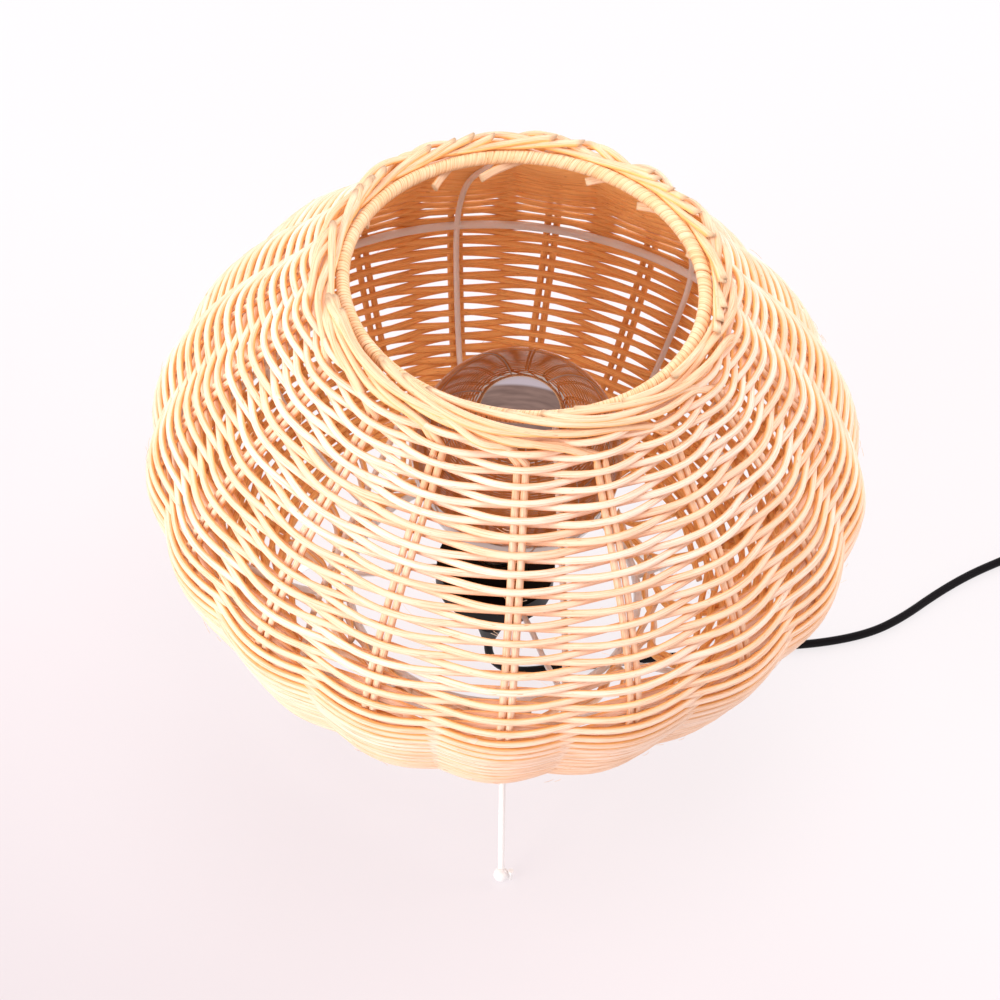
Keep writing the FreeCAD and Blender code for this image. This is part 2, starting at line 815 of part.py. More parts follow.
def make_plug():
    """A flat two-pin plug with its moulded boot, lying on the floor."""
    tail = Vector(*TAIL_ROUTE[-1])
    place = turned_by(PLUG_HEADING, Vector(tail.x, tail.y, 0))
    forward = Rotation(Vector(0, 1, 0), 90)
    middle = Placement(Vector(0, 0, size("plug_thickness / 2")), forward)
    outline = (
        ("0", "0"),
        ("boot_tail_radius", "0"),
        ("boot_head_radius", "plug_boot"),
        ("0", "plug_boot"),
    )
    turned("plug_boot", outline, place.multiply(middle))
    side = [
        ("plug_boot", "plug_tail_width / 2"),
        ("plug_boot + 12", "(plug_tail_width + 3) / 2"),
        ("plug_boot + plug_length - 10", "plug_width / 2"),
        ("plug_boot + plug_length", "plug_width / 2"),
    ]
    plan = [(along, "-" + across) for along, across in side] + side[::-1]
    body = padded("plug_body", plan, "0", "plug_thickness", place)
    rounded(body, "3", lambda edge: edge.BoundBox.ZLength < 0.1 and edge.BoundBox.XLength > 1)
    for number, side in enumerate(("-", ""), start=1):
        start = Vector(size("plug_boot + plug_length"), size(side + "pin_pitch / 2"), size("plug_thickness / 2"))
        outline = (
            ("0", "0"),
            ("pin_radius", "0"),
            ("pin_radius", "pin_length - 1"),
            ("pin_radius - 0.8", "pin_length"),
            ("0", "pin_length"),
        )
        turned(f"plug_pin_{number}", outline, place.multiply(Placement(start, forward)))


def check_model():
    doc.recompute()
    for item in doc.Objects:
        if "Invalid" in item.State or "Error" in item.State:
            raise ValueError(f"{item.Label} failed: {item.State}")


def write_parts():
    os.makedirs("parts", exist_ok=True)
    for item in nodes:
        shape = item.Shape
        if shape.isNull() or not shape.isValid() or len(shape.Solids) != 1:
            raise ValueError(f"{item.Label} is not one valid solid")
        shape.exportStep(f"parts/{item.Label}.step")


make_rings()
rib_shape = make_ribs()
leg_bodies = make_legs()
make_shade(rib_shape, leg_bodies)
make_spider()
make_cup()
make_holder()
make_bulb()
make_cord()
make_switch()
make_plug()
check_model()
write_parts()
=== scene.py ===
import math
import random

import bpy
import numpy as np
from mathutils import Matrix, Vector, noise


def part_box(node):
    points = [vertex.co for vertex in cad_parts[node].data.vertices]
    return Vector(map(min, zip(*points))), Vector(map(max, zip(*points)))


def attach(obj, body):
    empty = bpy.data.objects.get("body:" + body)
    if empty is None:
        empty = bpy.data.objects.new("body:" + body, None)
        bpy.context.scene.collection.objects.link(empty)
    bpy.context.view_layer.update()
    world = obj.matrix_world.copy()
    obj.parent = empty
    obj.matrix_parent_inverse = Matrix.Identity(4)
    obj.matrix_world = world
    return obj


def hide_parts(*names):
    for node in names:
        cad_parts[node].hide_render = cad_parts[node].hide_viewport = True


# Looks of the table lamp: the woven rattan shade as real reeds, the bound and plaited rim, the
# mirrored globe, the cord, and the materials of the frame, cup, switch and plug. Metres, +Z up.

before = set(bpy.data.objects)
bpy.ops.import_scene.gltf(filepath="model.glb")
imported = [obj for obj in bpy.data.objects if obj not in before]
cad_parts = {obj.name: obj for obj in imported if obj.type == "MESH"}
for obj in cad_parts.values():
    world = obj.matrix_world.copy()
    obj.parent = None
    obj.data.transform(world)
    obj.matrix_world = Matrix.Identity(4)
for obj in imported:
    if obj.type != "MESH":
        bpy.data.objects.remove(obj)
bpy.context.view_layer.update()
MM = 0.001

# Camera: height of the point it looks at, how far off it stands, and how it is held.
AIM_HEIGHT = 0.2107
DISTANCE = 2.156
ELEVATION = 48.0
ROLL = 5.8
LENS = 131.8
SHIFT = (-0.0068, -0.0415)

# Route of the cord, as in the model: grip to switch, switch to coil, coil to plug.
CORD_DIAMETER = 0.0054
CORD_ROUTE = (
    (0.0, 0.0, 0.043),
    (0.0, 0.0, 0.0303),
    (0.0052, 0.0019, 0.0169),
    (0.0138, 0.005, 0.0077),
    (0.0253, 0.0086, 0.0027),
    (0.046, 0.0146, 0.0027),
    (0.072, 0.02, 0.0027),
    (0.097, 0.028, 0.0027),
    (0.136, 0.0365, 0.0027),
    (0.178, 0.0485, 0.0027),
    (0.214, 0.0565, 0.0027),
    (0.244, 0.0685, 0.0027),
    (0.265, 0.0845, 0.0027),
    (0.287, 0.1075, 0.0027),
    (0.309, 0.127, 0.0027),
    (0.333, 0.1435, 0.0027),
    (0.35, 0.1535, 0.0046),
    (0.364, 0.1603, 0.0063),
    (0.377, 0.1665, 0.0065),
)
LINK_ROUTE = (
    (0.433, 0.1932, 0.0065),
    (0.4452, 0.1994, 0.0063),
    (0.458, 0.205, 0.0047),
    (0.4685, 0.2103, 0.0036),
    (0.4781, 0.2147, 0.0036),
)
TAIL_ROUTE = (
    (0.5311, 0.1711, 0.009),
    (0.5282, 0.1611, 0.009),
    (0.5258, 0.1498, 0.0083),
    (0.5225, 0.1384, 0.0071),
    (0.5187, 0.1285, 0.00685),
)
COIL_CENTRE = (0.4942, 0.181)
COIL_START = 115.4
COIL_TURNS = 6.36
POINTS_PER_TURN = 16
# Radius and level of the coil after so many turns: in on the lower layer, out on the upper one.
COIL_RADIUS_TURNS = (0.0, 3.4, 4.0, COIL_TURNS)
COIL_RADII = (0.0373, 0.0189, 0.0245, 0.0382)
COIL_LEVEL_TURNS = (3.0, 3.4)
COIL_LEVELS = (0.0036, 0.009)

# Outline of the shade: share of its height, and share of the belly radius.
SHADE_FOOT = 0.088
SHADE_HEIGHT = 0.276
SHADE_OUTLINE = (
    (0.0, 0.482),
    (0.12, 0.775),
    (0.28, 0.917),
    (0.45, 1.0),
    (0.60, 0.94),
    (0.75, 0.808),
    (0.88, 0.658),
    (1.0, 0.542),
)
OUTLINE_STEPS = 800
WALL = 0.011

# The weave: pairs of stakes, and one reed after another wound up round them.
STAKES = 19
FIRST_STAKE = math.radians(-86.0)
STAKE_CROWDING = math.radians(5.5)
CROWDING_FROM = math.radians(80.0)
STAKE_DIAMETER = 4.2 * MM
WEAVER_DIAMETER = 4.2 * MM
SIDES = 10
# Levels between which the weave and the upright stretch of the stakes run.
WEAVE_FOOT = 0.0985
WEAVE_TOP = 0.356
STAKES_TOP = 0.3465
# Height of one row at levels up the shade: loosest over the belly's shoulder.
ROW_LEVELS = (0.10, 0.20, 0.24, 0.31, 0.35)
ROW_HEIGHTS = (0.00400, 0.00410, 0.00490, 0.00490, 0.00430)
STEPS_PER_STAKE = 12
# How far down an outer row sits at a stake, and an inner one up, at levels up the shade.
PAIRING_LEVELS = (0.14, 0.165, 0.19, 0.211, 0.25)
PAIRINGS = (-0.0012, -0.0006, 0.0007, 0.0014, 0.00125)
# The weaver's slack between stakes, how its reach varies, and how far its rows wander out and up.
SLACK = 0.3
SWAY = 0.12
WANDER_OUT = 0.5 * MM
WANDER_UP = 1.1 * MM
REED_WANDER = 0.5 * MM
# Turns that one reed lasts, how far its ends lap in stakes, and the most vertices in one band.
REED_TURNS = (2.4, 4.2)
LAP_OF_ENDS = 0.3
BAND_VERTICES = 45000

# Half the distance between the two stakes of a pair in mm, how it changes, and where it is widest.
STAKE_SPREAD = 2.7
SPREAD_CHANGE = 0.32
STAKES_APART = math.radians(125.0)

# The shade isn't quite round: it bulges a little at the lower front.
BULGE = 4.5 * MM
BULGE_AZIMUTH = math.radians(-108.0)
BULGE_SPREAD = math.radians(70.0)
BULGE_LEVEL = 0.128
BULGE_HEIGHT = 0.045


def smooth_curve(points, shares):
    """A natural cubic spline through points, by chord length, at shares of its length."""
    points = np.array(points, float)
    steps = np.linalg.norm(np.diff(points, axis=0), axis=1)
    knots = np.concatenate([[0], np.cumsum(steps)])
    system = np.eye(len(points))
    right = np.zeros_like(points)
    for k in range(1, len(points) - 1):
        system[k, k - 1:k + 2] = steps[k - 1], 2 * (steps[k - 1] + steps[k]), steps[k]
        right[k] = (points[k + 1] - points[k]) / steps[k] - (points[k] - points[k - 1]) / steps[k - 1]
    bend = np.linalg.solve(system, 6 * right)
    at = np.asarray(shares, float) * knots[-1]
    k = np.clip(np.searchsorted(knots, at, side="right") - 1, 0, len(points) - 2)
    step = steps[k][:, None]
    up = (at - knots[k])[:, None] / step
    down = 1 - up
    curve = down * points[k] + up * points[k + 1]
    return curve + step**2 / 6 * ((down**3 - down) * bend[k] + (up**3 - up) * bend[k + 1])


def unit(vectors):
    return vectors / np.linalg.norm(vectors, axis=-1, keepdims=True)


class Wall:
    """The shade's outline, measured along its length from the foot."""

    def __init__(self):
        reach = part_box("woven_wall")[1][0]
        corners = [(across * reach, SHADE_FOOT + SHADE_HEIGHT * up) for up, across in SHADE_OUTLINE]
        line = smooth_curve(corners, np.linspace(0, 1, OUTLINE_STEPS))
        self.length = np.concatenate([[0], np.cumsum(np.linalg.norm(np.diff(line, axis=0), axis=1))])
        self.line = line
        along = unit(np.gradient(line, axis=0))
        self.normal = np.stack([along[:, 1], -along[:, 0]], -1)

    def at(self, length, table):
        return np.stack([np.interp(length, self.length, table[:, k]) for k in (0, 1)], -1)

    def places(self, length, azimuth, offset):
        """Points at lengths up the outline, azimuths, and offsets out from mid-weave."""
        normal = self.at(length, self.normal)
        middle = self.at(length, self.line)
        toward = np.exp(-((azimuth_from(azimuth, BULGE_AZIMUTH) / BULGE_SPREAD) ** 2))
        bulge = BULGE * toward * np.exp(-(((middle[:, 1] - BULGE_LEVEL) / BULGE_HEIGHT) ** 2))
        flat = middle + normal * (offset + bulge - WALL / 2)[:, None]
        return upright(flat, azimuth), upright(normal, azimuth)

    def length_at(self, level):
        return float(np.interp(level, self.line[:, 1], self.length))


def azimuth_from(azimuth, middle):
    return (azimuth - middle + math.pi) % (2 * math.pi) - math.pi


def upright(flat, azimuth):
    """Points of radius and height, turned to their azimuths."""
    radius, level = flat[:, 0], flat[:, 1]
    return np.stack([radius * np.cos(azimuth), radius * np.sin(azimuth), level], -1)


def crowded(angle):
    """Azimuth of an even angle: the stakes stand a little closer at the back."""
    return angle + STAKE_CROWDING * np.sin(angle + CROWDING_FROM)


class Strands:
    """Collects reeds, and makes them one mesh that remembers each reed's own straight space."""

    def __init__(self, name):
        self.name = name
        self.vertices = []
        self.faces = []
        self.grain = []
        self.skin = []
        self.caps = []
        self.count = 0

    def add(self, path, facing, radius, tone, flat=1.0, slant=0.0, sides=SIDES, square=1.0):
        """A reed along a path. facing is the way its top looks, flat its thickness by its width."""
        along = unit(np.gradient(path, axis=0))
        aside = unit(np.cross(along, facing))
        out = np.cross(aside, along)
        turn = np.linspace(0, 2 * math.pi, sides, endpoint=False)
        cosine, sine = np.cos(turn)[None, :], np.sin(turn)[None, :]
        radius = np.broadcast_to(radius, len(path))[:, None]
        across = np.sign(cosine) * np.abs(cosine) ** square * radius
        above = np.sign(sine) * np.abs(sine) ** square * radius * flat
        ring = path[:, None] + across[..., None] * aside[:, None] + above[..., None] * out[:, None]
        ring[-1] -= along[-1] * (slant * above[-1])[:, None]
        ring[0] += along[0] * (slant * above[0])[:, None]
        travel = np.concatenate([[0], np.cumsum(np.linalg.norm(np.diff(path, axis=0), axis=1))])
        tone = np.broadcast_to(tone, len(path))[:, None]
        travel = np.broadcast_to(travel[:, None] + tone[0] * 7.3, across.shape)
        cut = np.zeros(across.shape)
        cut[0] = cut[-1] = 1.0
        # skin holds a reed's tone, how far round it faces out, which sets its painted light and shade,
        # and where its ends are cut.
        skin = np.stack([np.broadcast_to(tone, across.shape), sine + 0 * cut, cut], -1)
        self.vertices.append(ring.reshape(-1, 3))
        self.grain.append(np.stack([travel, across, above], -1).reshape(-1, 3))
        self.skin.append(skin.reshape(-1, 3))
        first = self.count + np.arange(len(path) - 1)[:, None] * sides
        here = np.arange(sides)[None, :]
        after = (here + 1) % sides
        quads = np.stack([first + here, first + after, first + sides + after, first + sides + here], -1)
        self.faces += quads.reshape(-1, 4)[:, ::-1].tolist()
        last = self.count + (len(path) - 1) * sides
        self.caps.append(list(range(self.count, self.count + sides)))
        self.caps.append(list(range(last + sides - 1, last - 1, -1)))
        self.count += len(path) * sides

    def build(self):
        mesh = bpy.data.meshes.new(self.name)
        mesh.from_pydata(np.concatenate(self.vertices).tolist(), [], self.faces + self.caps)
        smooth = [True] * len(self.faces) + [False] * len(self.caps)
        mesh.polygons.foreach_set("use_smooth", smooth)
        for name, rows in (("grain", self.grain), ("skin", self.skin)):
            attribute = mesh.attributes.new(name, "FLOAT_VECTOR", "POINT")
            attribute.data.foreach_set("vector", np.concatenate(rows).ravel().astype(np.float32))
        piece = bpy.data.objects.new(self.name, mesh)
        bpy.context.collection.objects.link(piece)
        return piece


def rough(values, scale, seed):
    """Smooth noise along a row of numbers."""
    return np.array([noise.noise(Vector((value * scale, seed * 3.7, seed * 1.3))) for value in values])


def ripple(length, azimuth, seed):
    """Smooth noise over the wall, the same for neighbouring rows."""
    spots = np.stack([np.cos(azimuth) * 1.6, np.sin(azimuth) * 1.6, length * 14], -1)
    return np.array([noise.noise(Vector((x, y, z + seed * 9.1))) for x, y, z in spots])


# ---------------------------------------------------------------- camera and cord


def make_camera():
    data = bpy.data.cameras.new("camera")
    data.lens = LENS
    data.sensor_width = 36.0
    data.shift_x, data.shift_y = SHIFT
    data.clip_end = 50.0
    camera = bpy.data.objects.new("camera", data)
    bpy.context.collection.objects.link(camera)
    tilt = math.radians(90 - ELEVATION)
    place = Vector((0, 0, AIM_HEIGHT)) + DISTANCE * Vector((0, -math.sin(tilt), math.cos(tilt)))
    turn = Matrix.Rotation(tilt, 4, "X") @ Matrix.Rotation(math.radians(ROLL), 4, "Z")
    camera.matrix_world = Matrix.Translation(place) @ turn
    bpy.context.scene.camera = camera


def coil_points():
    """The wound length: a spiral in to the middle, a step up, and a spiral out on top of it."""
    points = []
    for k in range(1, int(COIL_TURNS * POINTS_PER_TURN)):
        turns = k / POINTS_PER_TURN
        radius = np.interp(turns, COIL_RADIUS_TURNS, COIL_RADII)
        level = np.interp(turns, COIL_LEVEL_TURNS, COIL_LEVELS)
        angle = math.radians(COIL_START) - 2 * math.pi * turns
        x = COIL_CENTRE[0] + radius * math.cos(angle)
        y = COIL_CENTRE[1] + radius * math.sin(angle)
        points.append((x, y, level))
    return tuple(points)


def make_cord():
    route = CORD_ROUTE + LINK_ROUTE + coil_points() + TAIL_ROUTE
    curve = bpy.data.curves.new("cord", "CURVE")
    curve.dimensions = "3D"
    curve.bevel_depth = 1.0
    curve.bevel_resolution = 5
    curve.resolution_u = 8
    curve.use_fill_caps = True
    spline = curve.splines.new("NURBS")
    spline.points.add(len(route) - 1)
    for point, place in zip(spline.points, route):
        point.co = (*place, 1.0)
        point.radius = CORD_DIAMETER / 2
    spline.order_u = 3
    spline.use_endpoint_u = True
    cord = bpy.data.objects.new("cord", curve)
    bpy.context.collection.objects.link(cord)
    on_cord = ["coil_tie", "switch_lower", "switch_upper", "switch_screw_1", "switch_screw_2"]
    on_cord += ["rocker_pin", "switch_rocker", "plug_boot", "plug_body", "plug_pin_1", "plug_pin_2"]
    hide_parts("cord_run", "cord_link", "cord_tail", "cord_coil")
    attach(cord, "lamp")
    return cord


# ---------------------------------------------------------------- the woven shade


def row_lengths(wall):
    """Length up the outline at each whole turn of the weaver."""
    lengths = [wall.length_at(WEAVE_FOOT)]
    top = wall.length_at(WEAVE_TOP)
    while lengths[-1] < top:
        level = np.interp(lengths[-1], wall.length, wall.line[:, 1])
        lengths.append(lengths[-1] + np.interp(level, ROW_LEVELS, ROW_HEIGHTS))
    return np.array(lengths)


def weaver_path(wall, rows, first, last, seed):
    """The weaver from one number of turns to another, in front of and behind the stakes."""
    count = max(8, int((last - first) * STAKES * STEPS_PER_STAKE))
    turns = np.linspace(first, last, count)
    angle = 2 * math.pi * turns
    azimuth = crowded(angle)
    length = np.interp(turns, np.arange(len(rows)), rows)
    beat = STAKES / 2 * (angle - FIRST_STAKE)
    side = np.cos(beat)
    reach = (STAKE_DIAMETER + WEAVER_DIAMETER) / 2
    radius = wall.at(length, wall.line)[:, 0]
    slack = SLACK * radius * (1 - math.cos(math.pi / STAKES)) * np.sin(beat) ** 2
    sway = 1 + SWAY * rough(turns, 9.0, seed)
    offset = reach * side * sway - slack + WANDER_OUT * ripple(length, azimuth, 2)
    lift = WANDER_UP * ripple(length, azimuth, 1) + REED_WANDER * rough(turns, 5.0, seed + 40)
    level = wall.at(length, wall.line)[:, 1]
    length = length + lift - np.interp(level, PAIRING_LEVELS, PAIRINGS) * side
    return turns, wall.places(length, azimuth, offset)


def make_weave(wall):
    """The rows, wound from separate reeds whose ends lap between two stakes."""
    rng = random.Random(7)
    rows = row_lengths(wall)
    total = len(rows) - 1
    bands = []
    band = Strands("weave_1")
    start = 0.0
    number = 0
    while start < total:
        steps = round(rng.uniform(*REED_TURNS) * STAKES / 2) * 2 + 1
        stop = min(total, start + steps / STAKES)
        over = LAP_OF_ENDS / STAKES
        turns, (path, facing) = weaver_path(wall, rows, max(0, start - over), stop + over, number)
        diameter = WEAVER_DIAMETER * rng.uniform(0.94, 1.06)
        radius = diameter / 2 * (1 + 0.05 * rough(turns, 14.0, number + 80))
        band.add(path, facing, radius, rng.random(), flat=rng.uniform(0.9, 1.0), slant=0.8)
        number += 1
        start = stop
        if band.count > BAND_VERTICES or start >= total:
            bands.append(band.build())
            band = Strands(f"weave_{len(bands) + 1}")
    return bands


# Where a plait's strands lie, from a ring's centre, as they go round: share, out and up.
HEAD_PLAIT = (
    (0.08, 16.6, -4.0),
    (0.20, 15.4, 4.2),
    (0.38, 10.6, 4.0),
    (0.60, 6.4, 2.4),
    (0.82, 6.2, 5.0),
    (1.00, 9.8, 7.8),
)
# At the front the head's plait spreads in over its ring, and hides it.
FRONT_PLAIT = (
    (0.08, 18.4, -6.0),
    (0.20, 17.4, -2.4),
    (0.38, 15.4, 0.8),
    (0.60, 12.2, 3.6),
    (0.82, 7.4, 5.3),
    (1.00, 3.0, 5.6),
)
FOOT_PLAIT = (
    (0.15, 15.9, 0.5),
    (0.40, 10.9, -3.4),
    (0.65, 5.4, -3.0),
    (0.82, 6.6, 1.6),
    (1.00, 10.6, 4.4),
)
# Where that front is, how far it spreads to each side, and how soon it sets in.
FRONT_AZIMUTH = math.radians(-95)
FRONT_SPREAD = math.radians(65)
FRONT_EDGE = 0.3
# How far round the rim an end runs. At the head some ends are short, and the longest are at one side.
HEAD_SWEEP = math.radians(-64)
SHORT_SWEEP = 0.55
SWEEP_CHANGE = 0.35
SWEEP_LONGEST = math.radians(-60)
FOOT_SWEEP = math.radians(48)
# How far a pair's second end falls behind its first, in stakes: in an even pair, and an odd one.
LAGS = (0.14, 0.5)
# Looseness of an end in mm: random out and up, and at the front a lift and a swing across others.
LOOSE_OUT = 1.0
LOOSE_UP = 0.7
LIFTS = (-0.6, 2.2)
SWINGS = (-2.6, -1.0, 1.0, 2.6)


def ring_centre(node):
    """Radius and height of the centre of a ring's wire."""
    low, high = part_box(node)
    wire = (high[2] - low[2]) / 2
    return np.array([high[0] - wire, (low[2] + high[2]) / 2])


def plait_path(start, azimuth, plait, front_plait, centre, sweep, rng):
    """A stake's end, bent over into the plait and led round the rim."""
    shares = [0.0] + [share for share, _, _ in plait]
    flat = [start]
    lift = rng.uniform(*LIFTS)
    swing = rng.choice(SWINGS)
    for (share, out, up), (_, front_out, front_up) in zip(plait, front_plait):
        away = azimuth_from(azimuth + sweep * share, FRONT_AZIMUTH) / FRONT_SPREAD
        front = max(0.0, math.cos(away * math.pi / 2)) ** FRONT_EDGE
        looseness = 1 + 1.5 * front * (1.15 - share)
        out += (front_out - out) * front + rng.uniform(-LOOSE_OUT, LOOSE_OUT) * looseness
        out += swing * front * math.sin(2 * math.pi * share)
        up += (front_up - up) * front + rng.uniform(-LOOSE_UP, LOOSE_UP)
        up += lift * front * math.sin(math.pi * share)
        flat.append(centre + np.array([out, up]) * MM)
    knots = np.column_stack([np.array(shares) * abs(sweep) * centre[0], flat])
    line = smooth_curve(knots, np.linspace(0, 1, 46))
    angles = azimuth + np.sign(sweep) * line[:, 0] / centre[0] * rng.uniform(0.86, 1.1)
    return upright(line[:, 1:], angles), angles


def head_sweep(number, side, middle):
    """How far round a stake's end runs in the head's plait."""
    sweep = HEAD_SWEEP * (SHORT_SWEEP if side > 0 and number % 3 == 0 else 1.0)
    return sweep * (1 + SWEEP_CHANGE * max(0.0, math.cos(azimuth_from(middle, SWEEP_LONGEST))))


def head_end(start, azimuth, lag, sweep, head, rng):
    """A stake's upper end in the head's plait, where it falls back by its lag."""
    over, turned = plait_path(start, azimuth - lag, HEAD_PLAIT, FRONT_PLAIT, head, sweep, rng)
    turned = turned + lag * (1 - np.linspace(0, 1, len(turned)) ** 0.5)
    flat = np.column_stack([np.hypot(over[:, 0], over[:, 1]), over[:, 2]])
    return upright(flat, turned), turned


def stake_path(wall, number, side, middle, rng):
    """A stake's points and azimuths: out of the foot's plait, up the wall, into the head's plait."""
    length = np.linspace(wall.length_at(WEAVE_FOOT), wall.length_at(STAKES_TOP), 90)
    radius = wall.at(length, wall.line)[:, 0]
    spread = STAKE_SPREAD + SPREAD_CHANGE * math.cos(middle - STAKES_APART)
    apart = (spread + 0.2 * rough(length, 30, number + side)) * MM
    azimuth = middle + side * apart / radius
    offset = 0.3 * MM * rough(length, 25.0, number * 2 + side)
    upward, _ = wall.places(length, azimuth, offset)
    flat = wall.at(length, wall.line) - wall.at(length, wall.normal) * WALL / 2
    lag = LAGS[number % 2] * 2 * math.pi / STAKES if side > 0 else 0.0
    sweep = head_sweep(number, side, middle)
    over, turned = head_end(flat[-1], azimuth[-1], lag, sweep, ring_centre("ring_head"), rng)
    foot = ring_centre("ring_foot")
    under, below = plait_path(flat[0], azimuth[0], FOOT_PLAIT, FOOT_PLAIT, foot, FOOT_SWEEP, rng)
    path = np.concatenate([under[:1:-1], upward, over[2:]])
    return path, np.concatenate([below[:1:-1], azimuth, turned[2:]])


def make_stakes(wall):
    """Pairs of stakes, each reed plaited into the foot at one end and the head at the other."""
    rng = random.Random(23)
    piece = Strands("stakes")
    for number in range(STAKES):
        middle = crowded(FIRST_STAKE + 2 * math.pi * number / STAKES)
        middle += math.radians(rng.uniform(-0.6, 0.6))
        for side in (-1, 1):
            path, azimuths = stake_path(wall, number, side, middle, rng)
            # Points before the upper end: there a reed turns its top up, so its pale painted side faces
            # up, swells, and is deeper in tone, a painted shade over the plait.
            place = np.arange(len(path)) - len(path)
            rise = np.interp(place, (-50, -34), (0.4, 4.0))
            outward = np.stack([np.cos(azimuths), np.sin(azimuths), rise], -1)
            diameter = STAKE_DIAMETER * rng.uniform(0.96, 1.06)
            swell = np.interp(place, (-12, 0), (1.0, 1.18))
            tone = rng.uniform(0.0, 1.0)
            tone_and_plait_shade = np.interp(place, (-60, -42), (0.4 * tone, 0.65 + 0.5 * tone))
            piece.add(path, unit(outward), diameter / 2 * swell, tone_and_plait_shade, flat=0.9, slant=-1.2)
    return piece.build()


# Cut ends that show inside the head: azimuth in degrees, and how far in they reach in mm.
POKING_ENDS = ((117, 22), (93, 33), (66, 14), (44, 17), (20, 12), (150, 15))


def make_poking_ends():
    """Flat ends of reeds that lie just under the head ring on the inside."""
    rng = random.Random(31)
    radius, level = ring_centre("ring_head")
    piece = Strands("ends")
    for turn, reach in POKING_ENDS:
        share = np.linspace(0, 1, 10)
        lean = rng.uniform(1.0, 1.2)
        inward = radius + 4 * MM - share * reach * MM * math.cos(lean)
        falling = level - 4.6 * MM - share * rng.uniform(1, 4) * MM
        azimuth = math.radians(turn) + share * reach * MM * math.sin(lean) / radius
        path = upright(np.stack([inward, falling], -1), azimuth)
        facing = upright(np.stack([0 * share - 1.0, 0 * share + 0.6], -1), azimuth)
        piece.add(path, unit(facing), 2.5 * MM, rng.uniform(0.7, 1.1), flat=0.4, square=0.6)
    return piece.build()


# The peel wound round the head ring: width of a lap, its widest, thickness, and points in one lap.
PEEL_LAP = 2.3 * MM
PEEL_WIDEST = 5.3 * MM
PEEL_THICKNESS = 0.26 * MM
POINTS_PER_LAP = 20


def make_rim_peel():
    """Flat peel wound round the head ring, in wider laps on the right, with a gap here and there."""
    rng = random.Random(5)
    radius, level = ring_centre("ring_head")
    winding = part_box("rim_wrap")[1][2] - level
    laps = [0.0]
    while laps[-1] < 2 * math.pi:
        wide = 1.0 + 1.3 * max(0.0, math.cos(laps[-1] - 0.3)) ** 2
        gap = rng.uniform(0.2, 0.5) if rng.random() < 0.1 else 0.0
        laps.append(laps[-1] + PEEL_LAP / radius * (wide * rng.uniform(0.92, 1.08) + gap))
    laps = np.array(laps)
    turn = np.linspace(0, len(laps) - 1, (len(laps) - 1) * POINTS_PER_LAP)
    azimuth = np.interp(turn, np.arange(len(laps)), laps)
    widest = np.minimum(np.diff(laps) * radius, PEEL_WIDEST)
    widths = np.interp(turn, np.arange(len(laps) - 1) + 0.5, widest)
    around = 2 * math.pi * turn
    lean = -1.0 * MM / radius * np.sin(around + 0.8)
    bound = winding - PEEL_THICKNESS + 0.12 * MM * rough(np.floor(turn), 0.9, 3)
    outward = upright(np.stack([np.cos(around), np.sin(around)], -1), azimuth)
    flat = np.stack([radius + bound * np.cos(around), level + bound * np.sin(around)], -1)
    path = upright(flat, azimuth + lean)
    tone = 0.5 + 0.45 * rough(np.floor(turn + 0.25), 0.37, 8)
    piece = Strands("rim_peel")
    flatness = PEEL_THICKNESS / PEEL_LAP * 2
    piece.add(path, outward, widths * 0.5, tone, flat=flatness, sides=12, square=0.42)
    return piece.build()


FIBRES = 380
FIBRES_TOP = 0.345


def make_fibres(wall):
    """Stray fibres that stand off the reeds."""
    rng = random.Random(11)
    piece = Strands("fibres")
    top = wall.length_at(FIBRES_TOP)
    for _ in range(FIBRES):
        length = rng.uniform(0.02, top)
        azimuth = rng.uniform(-math.pi, math.pi)
        stand = rng.uniform(3, 6) * MM
        starts, normals = wall.places(np.array([length]), np.array([azimuth]), np.array([stand]))
        start, normal = starts[0], normals[0]
        aside = np.array([-math.sin(azimuth), math.cos(azimuth), 0.0])
        climb = np.cross(normal, aside)
        heading = aside * rng.choice((-1, 1)) + climb * rng.uniform(-0.5, 0.5)
        heading = heading + normal * rng.uniform(0.1, 0.5)
        curl = climb * rng.uniform(-1, 1) - normal * rng.uniform(0, 0.7)
        reach = rng.uniform(3, 9) * MM
        share = np.linspace(0, 1, 7)[:, None]
        path = start + reach * (share * unit(heading) + share**2 * 0.5 * curl)
        piece.add(path, np.broadcast_to(normal, path.shape), 0.09 * MM, rng.random(), sides=4)
    return piece.build()


# ---------------------------------------------------------------- the globe lamp


# The glass: radius at its root and neck, the neck's height, where the ball begins, and how far the
# flare keeps the direction of each. It leans a little to the right in its holder.
ROOT_RADIUS = 13.2 * MM
NECK_RADIUS = 17.2 * MM
NECK_HEIGHT = 5 * MM
BALL_FROM = math.radians(-52)
FLARE_REACH = 14 * MM
GLOBE_LEAN = math.radians(4.0)


def make_globe():
    """The glass as a turned skin: root, neck, flare and ball."""
    low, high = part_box("bulb_globe")
    ball = (high[0] - low[0]) / 2
    level = high[2] - ball
    meet = np.array([ball * math.cos(BALL_FROM), level + ball * math.sin(BALL_FROM)])
    slope = np.array([-math.sin(BALL_FROM), math.cos(BALL_FROM)])
    root = np.array([ROOT_RADIUS, low[2]])
    neck = np.array([NECK_RADIUS, low[2] + NECK_HEIGHT])
    handles = (neck, neck + np.array([0, FLARE_REACH]), meet - slope * FLARE_REACH, meet)
    share = np.linspace(0, 1, 24)[:, None]
    flare = (1 - share)**3 * handles[0] + 3 * (1 - share)**2 * share * handles[1]
    flare += 3 * (1 - share) * share**2 * handles[2] + share**3 * handles[3]
    turn = np.linspace(BALL_FROM, math.pi / 2, 96)[1:]
    crown = np.stack([ball * np.cos(turn), level + ball * np.sin(turn)], -1)
    outline = np.concatenate([[root], flare, crown])
    piece = turned_skin("globe", outline)
    foot = Matrix.Translation((0, 0, low[2]))
    piece.data.transform(foot @ Matrix.Rotation(GLOBE_LEAN, 4, "Y") @ foot.inverted())
    return piece


